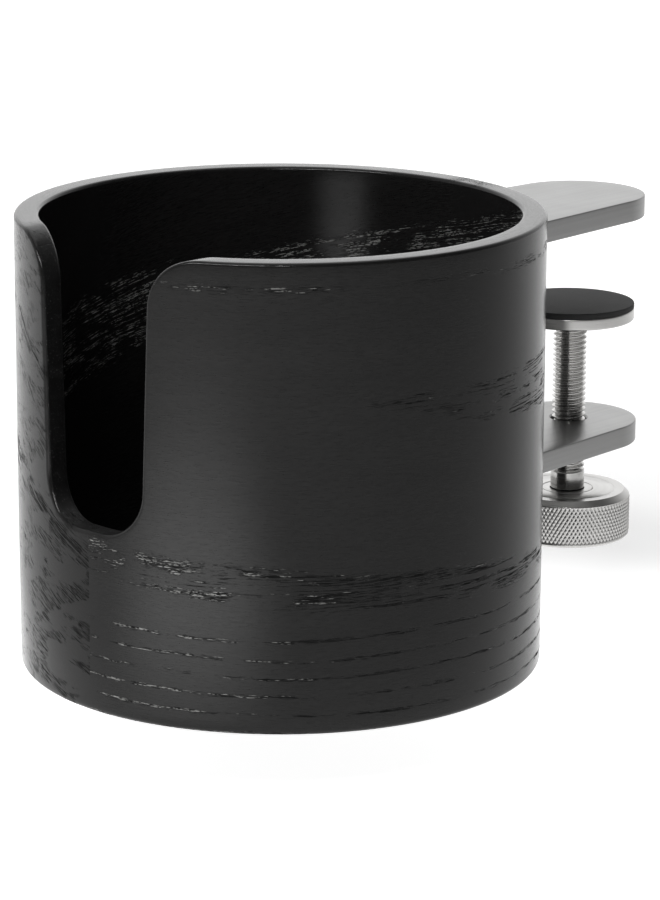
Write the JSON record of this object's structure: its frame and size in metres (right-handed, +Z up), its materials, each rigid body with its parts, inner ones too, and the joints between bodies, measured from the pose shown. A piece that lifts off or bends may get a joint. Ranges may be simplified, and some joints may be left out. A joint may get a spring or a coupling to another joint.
{
  "type": "desk clamp cup holder",
  "caption": "Turned wooden cup holder with a handle slot, carried off a desk edge by a C-shaped metal screw clamp with a knurled knob.",
  "frame": {"origin": "centre of the cup's flat underside", "axes": "+Z up along the cup's axis; +Y from the cup towards the clamp's free ends; the handle slot faces -Y; symmetric about X = 0"},
  "size_m": [0.115, 0.1729, 0.1],
  "materials": {
    "black_stained_wood": "black-stained open-pore ash, satin lacquer",
    "brushed_aluminium": "finely brushed, clear",
    "brushed_steel": "turned and brushed, knurled on the knob's rim",
    "bright_steel": "bright machined steel",
    "black_rubber": "matte black sheet rubber"
  },
  "bodies": {
    "root": {"cup_body": "black_stained_wood", "clamp_bracket": "brushed_aluminium", "bracket_screw_1": "bright_steel", "bracket_screw_2": "bright_steel", "bracket_screw_3": "bright_steel", "bracket_screw_4": "bright_steel", "upper_arm_pad": "black_rubber"},
    "pressure_foot": {"pressure_disc": "brushed_steel", "pressure_pad": "black_rubber"},
    "clamp_screw": {"clamp_spindle": "bright_steel", "disc_screw": "bright_steel", "knob": "brushed_steel", "knob_bush": "brushed_steel", "knob_screw": "bright_steel"}
  },
  "joints": [
    {"name": "screw_lift", "type": "slide", "parent": "root", "child": "pressure_foot", "axis": [0, 0, 1], "range_m": [-0.0238, 0.0119]},
    {"name": "screw_turn", "type": "hinge", "parent": "pressure_foot", "child": "clamp_screw", "pos_m": [0, 0.098, 0.04], "axis": [0, 0, 1], "range_deg": [-6840, 3420]}
  ],
  "couplings": [
    {"joint": "screw_lift", "follows": "screw_turn", "m_per_rad": 0.00019894}
  ]
}
